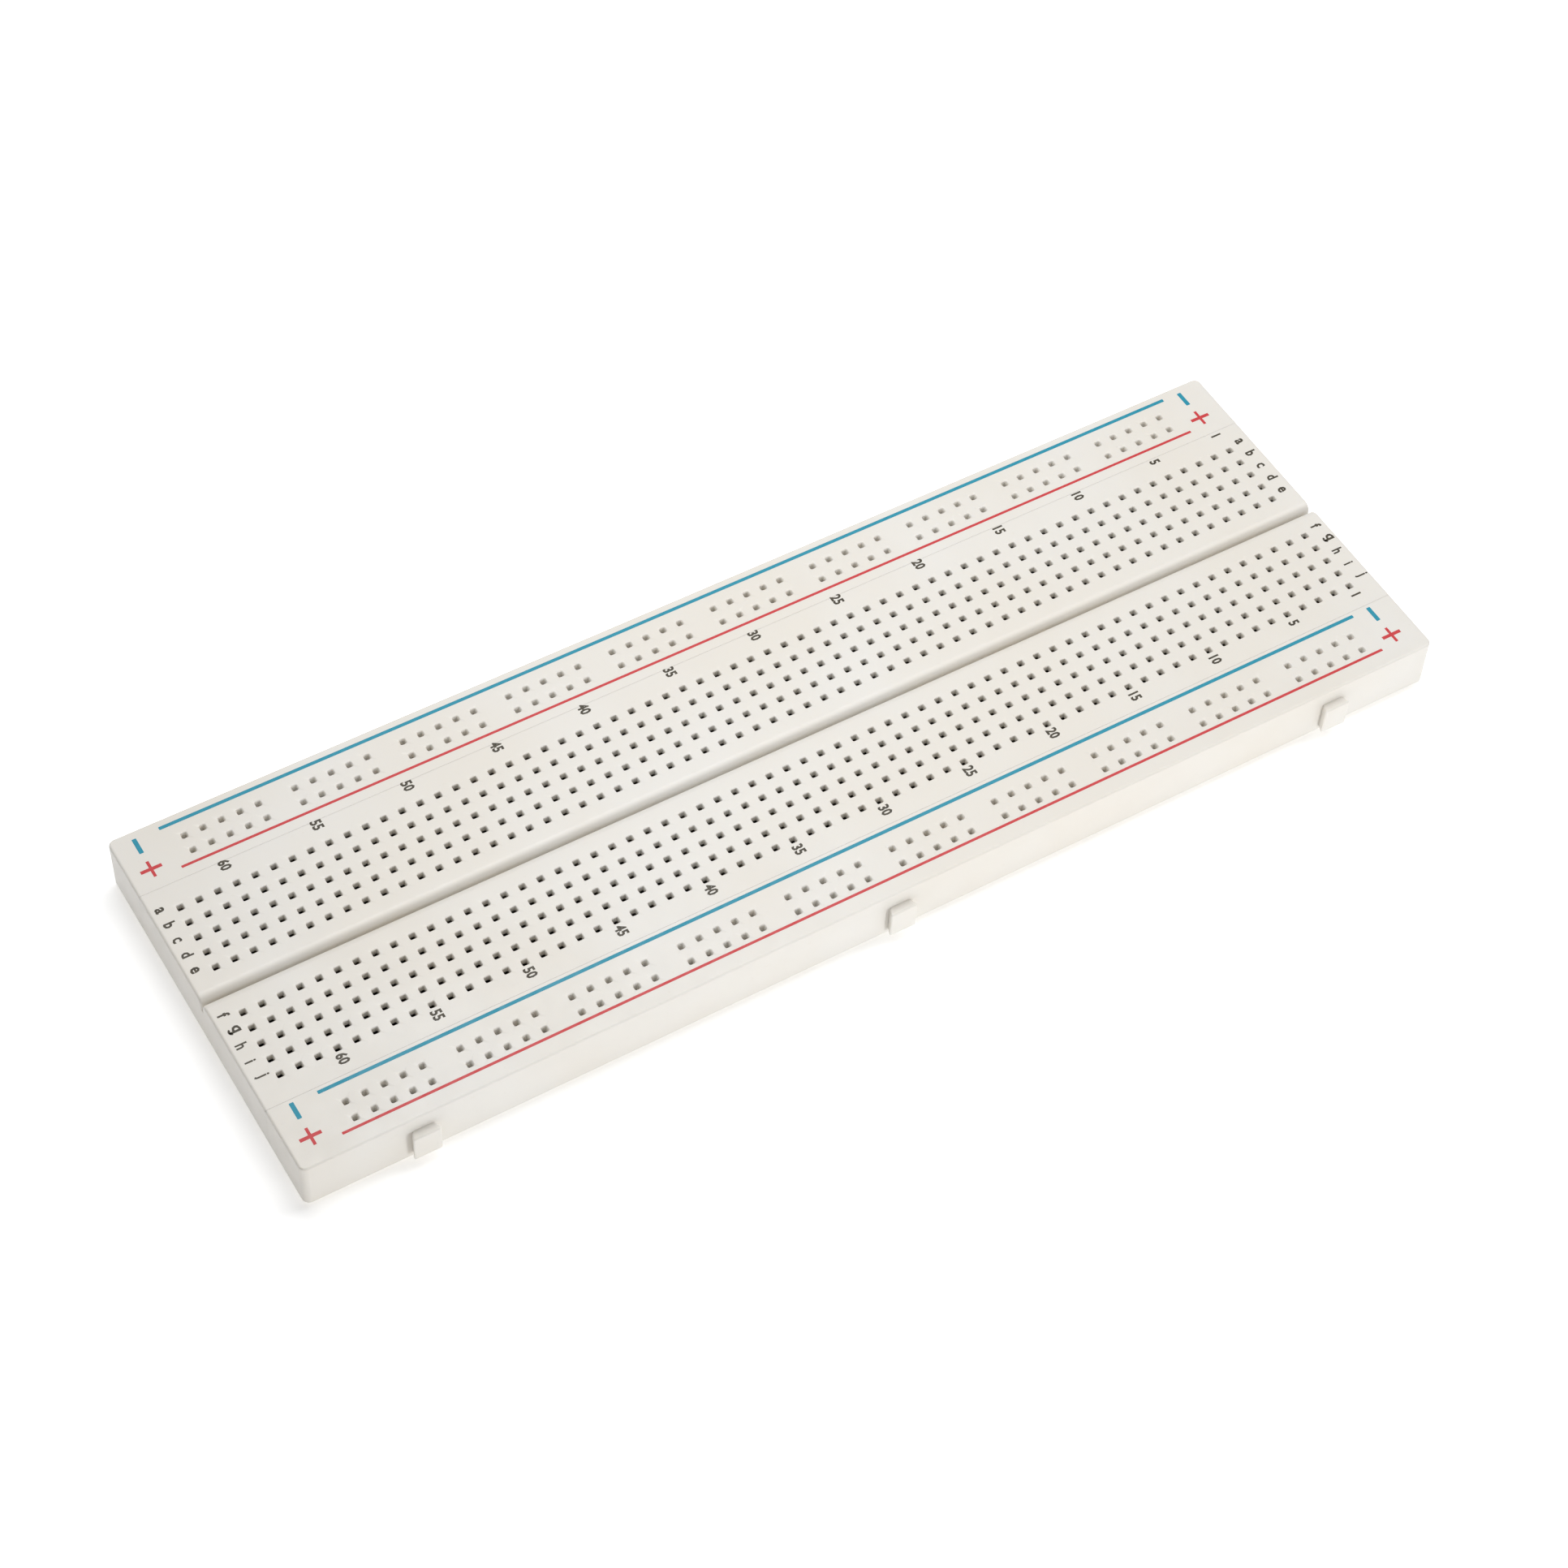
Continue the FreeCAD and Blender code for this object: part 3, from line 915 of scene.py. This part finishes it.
def glyphs(skin, text, size, weight, x, y, squeeze=1.0):
    """Text that reads towards -Y with its feet towards -X.

    Its baseline's middle is at x, y. An edge that only one polygon has gets a side wall."""
    curve = bpy.data.curves.new("text", "FONT")
    curve.body = text
    curve.size = size
    curve.offset = weight
    curve.align_x = "CENTER"
    curve.resolution_u = FONT_STEPS
    curve.fill_mode = "FRONT"
    holder = bpy.data.objects.new("text", curve)
    bpy.context.scene.collection.objects.link(holder)
    flat = bpy.data.meshes.new_from_object(holder)
    bpy.data.objects.remove(holder)
    corners = [(x + corner.co.y, y - squeeze * corner.co.x) for corner in flat.vertices]
    places = [skin.vertex((*corner, SKIN_Z)) for corner in corners]
    used = {}
    for polygon in flat.polygons:
        skin.face([(*corners[i], TOP_Z) for i in polygon.vertices])
        skin.face([(*corners[i], SKIN_Z) for i in reversed(polygon.vertices)])
        for i, j in polygon.edge_keys:
            edges = used.setdefault(frozenset((places[i], places[j])), [])
            edges.append((corners[i], corners[j]))
    for edges in used.values():
        if len(edges) == 1:
            start, end = edges[0]
            skin.face([(*start, SKIN_Z), (*end, SKIN_Z), (*end, TOP_Z), (*start, TOP_Z)])
    bpy.data.meshes.remove(flat)


def row_letter(skin, letter, x, y):
    """A row's letter. Those that hang below the line are lifted on to it."""
    weight = BOLD if letter in BOLD_LETTERS else LIGHT
    size = LETTER if letter in LARGE_LETTERS else SMALL_LETTER
    if letter == "g":
        glyphs(skin, "q", size, weight, x + G_LIFT, y)
        hook(skin, size, weight, x + G_LIFT, y)
    elif letter == "j":
        glyphs(skin, letter, size, weight, x + J_LIFT, y, NARROW)
    else:
        glyphs(skin, letter, size, weight, x, y, NARROW)


def hook(skin, size, weight, x, y):
    """The hook that turns a q into a g with one bowl."""
    stroke = HOOK_STROKE * size + 2 * weight
    radius = HOOK_RADIUS * size
    middle_x = x - HOOK_DROP * size
    middle_y = y - HOOK_SIDE * size + radius
    turns = list(range(0, HOOK_TURN + 1, HOOK_STEP))
    outline = []
    for edge, sweep in ((radius + 0.5 * stroke, turns), (radius - 0.5 * stroke, turns[::-1])):
        for turn in sweep:
            angle = math.radians(turn)
            outline.append((middle_x - edge * math.sin(angle),
                            middle_y - edge * math.cos(angle)))
    ink_block(skin, outline)


def terminal_printing():
    """Row letters at both ends, and column numbers along both sides."""
    skin = Skin()
    for i, letter in enumerate("abcdefghij"):
        step = i if i < POINTS_PER_CLIP else i + CHANNEL_ROWS
        y = ROW_E_Y + (POINTS_PER_CLIP - 1 - step) * PITCH + LETTER_SHIFT
        for x in LETTER_X:
            row_letter(skin, letter, x, y)
    for column in [1] + list(range(NUMBER_STEP, COLUMNS, NUMBER_STEP)):
        for y in NUMBER_Y:
            glyphs(skin, str(column), DIGIT, BOLD, column_x(column) - NUMBER_SHIFT, y, NARROW)
    return skin


def bus_printing(side):
    """The blue and the red printing of one bus strip."""
    blue, red = Skin(), Skin()
    strip = 1 if side > 0 else 0
    plate(blue, 0, BLUE_LINE_Y[strip], 2 * RAIL_LINE_END, BLUE_LINE)
    plate(red, 0, RED_LINE_Y[strip], 2 * RAIL_LINE_END, RED_LINE)
    for x in SIGN_X:
        plate(blue, x, MINUS_Y[strip], MINUS_SIZE_X, MINUS_SIZE_Y)
        ink_block(red, plus_outline(x, PLUS_Y[strip]))
    return blue, red


def printed(name, skin, material, body):
    piece(name, skin.mesh(name), material, body)


def printing():
    printed("terminal_printing", terminal_printing(), DARK_INK, "terminal")
    for body, side in (("far_bus", 1), ("near_bus", -1)):
        blue, red = bus_printing(side)
        printed(body + "_blue_printing", blue, BLUE_INK, body)
        printed(body + "_red_printing", red, RED_INK, body)


# ---- floor, light and camera --------------------------------------------------------

FLOOR_HALF = 3.0                 # metres
FLOOR_GLOW = 0.42                # light from under the floor
WORLD_LIGHT = 0.21


def floor():
    """A plain white table that glows a little, as if it were lit from below."""
    signs = ((-1, -1), (1, -1), (1, 1), (-1, 1))
    corners = [(x * FLOOR_HALF, y * FLOOR_HALF, 0) for x, y in signs]
    mesh = bpy.data.meshes.new("floor")
    mesh.from_pydata(corners, [], [(0, 1, 2, 3)])
    surface = Surface("floor")
    shade = surface.between(surface.noise(300, detail=2), 0, 1)
    colour = surface.blend(shade, srgb(252, 252, 252), srgb(250, 250, 250))
    surface.set(Base_Color=colour, Roughness=0.8, Emission_Color=colour)
    surface.shader.inputs["Emission Strength"].default_value = FLOOR_GLOW
    mesh.materials.append(surface.material)
    thing = bpy.data.objects.new("floor", mesh)
    bpy.context.scene.collection.objects.link(thing)


def softbox(name, place, size, power):
    """A square area light that faces the board. Its place and size are in metres."""
    light = bpy.data.lights.new(name, "AREA")
    light.size = size
    light.energy = power
    thing = bpy.data.objects.new(name, light)
    thing.location = place
    thing.rotation_mode = "QUATERNION"
    thing.rotation_quaternion = (-Vector(place)).to_track_quat("-Z", "Y")
    bpy.context.scene.collection.objects.link(thing)


def studio():
    """An even white surround and three softboxes: above, on the right and low in front."""
    world = bpy.data.worlds.new("studio")
    world.use_nodes = True
    background = world.node_tree.nodes["Background"]
    background.inputs["Color"].default_value = (1.0, 1.0, 1.0, 1.0)
    background.inputs["Strength"].default_value = WORLD_LIGHT
    bpy.context.scene.world = world
    softbox("overhead", (0.01, 0.05, 0.27), size=0.2, power=0.58)
    softbox("fill", (0.25, -0.05, 0.25), size=0.15, power=0.23)
    softbox("front", (0.04, -0.3, 0.035), size=0.06, power=0.22)
    bpy.context.scene.view_settings.view_transform = "Standard"


CAMERA_LENS = 83.7               # on a 36 mm sensor
CAMERA_AIM = Vector((-4.14, -5.86, 8.5)) * MM
CAMERA_AZIMUTH = math.radians(-33.03)
CAMERA_ELEVATION = math.radians(52.51)
CAMERA_ROLL = math.radians(3.05)
CAMERA_DISTANCE = 463.0 * MM
CAMERA_CLIP = (0.01, 20.0)       # metres


def camera():
    level = math.cos(CAMERA_ELEVATION)
    back = Vector((math.sin(CAMERA_AZIMUTH) * level,
                   -math.cos(CAMERA_AZIMUTH) * level,
                   math.sin(CAMERA_ELEVATION)))
    data = bpy.data.cameras.new("camera")
    data.lens = CAMERA_LENS
    data.clip_start = CAMERA_CLIP[0]
    data.clip_end = CAMERA_CLIP[1]
    thing = bpy.data.objects.new("camera", data)
    thing.location = CAMERA_AIM + back * CAMERA_DISTANCE
    thing.rotation_mode = "QUATERNION"
    level_view = (-back).to_track_quat("-Z", "Y")
    thing.rotation_quaternion = level_view @ Quaternion((0, 0, 1), CAMERA_ROLL)
    bpy.context.scene.collection.objects.link(thing)
    bpy.context.scene.camera = thing


# ---- everything ---------------------------------------------------------------------

housings()
contacts()
backing()
printing()
floor()
studio()
camera()
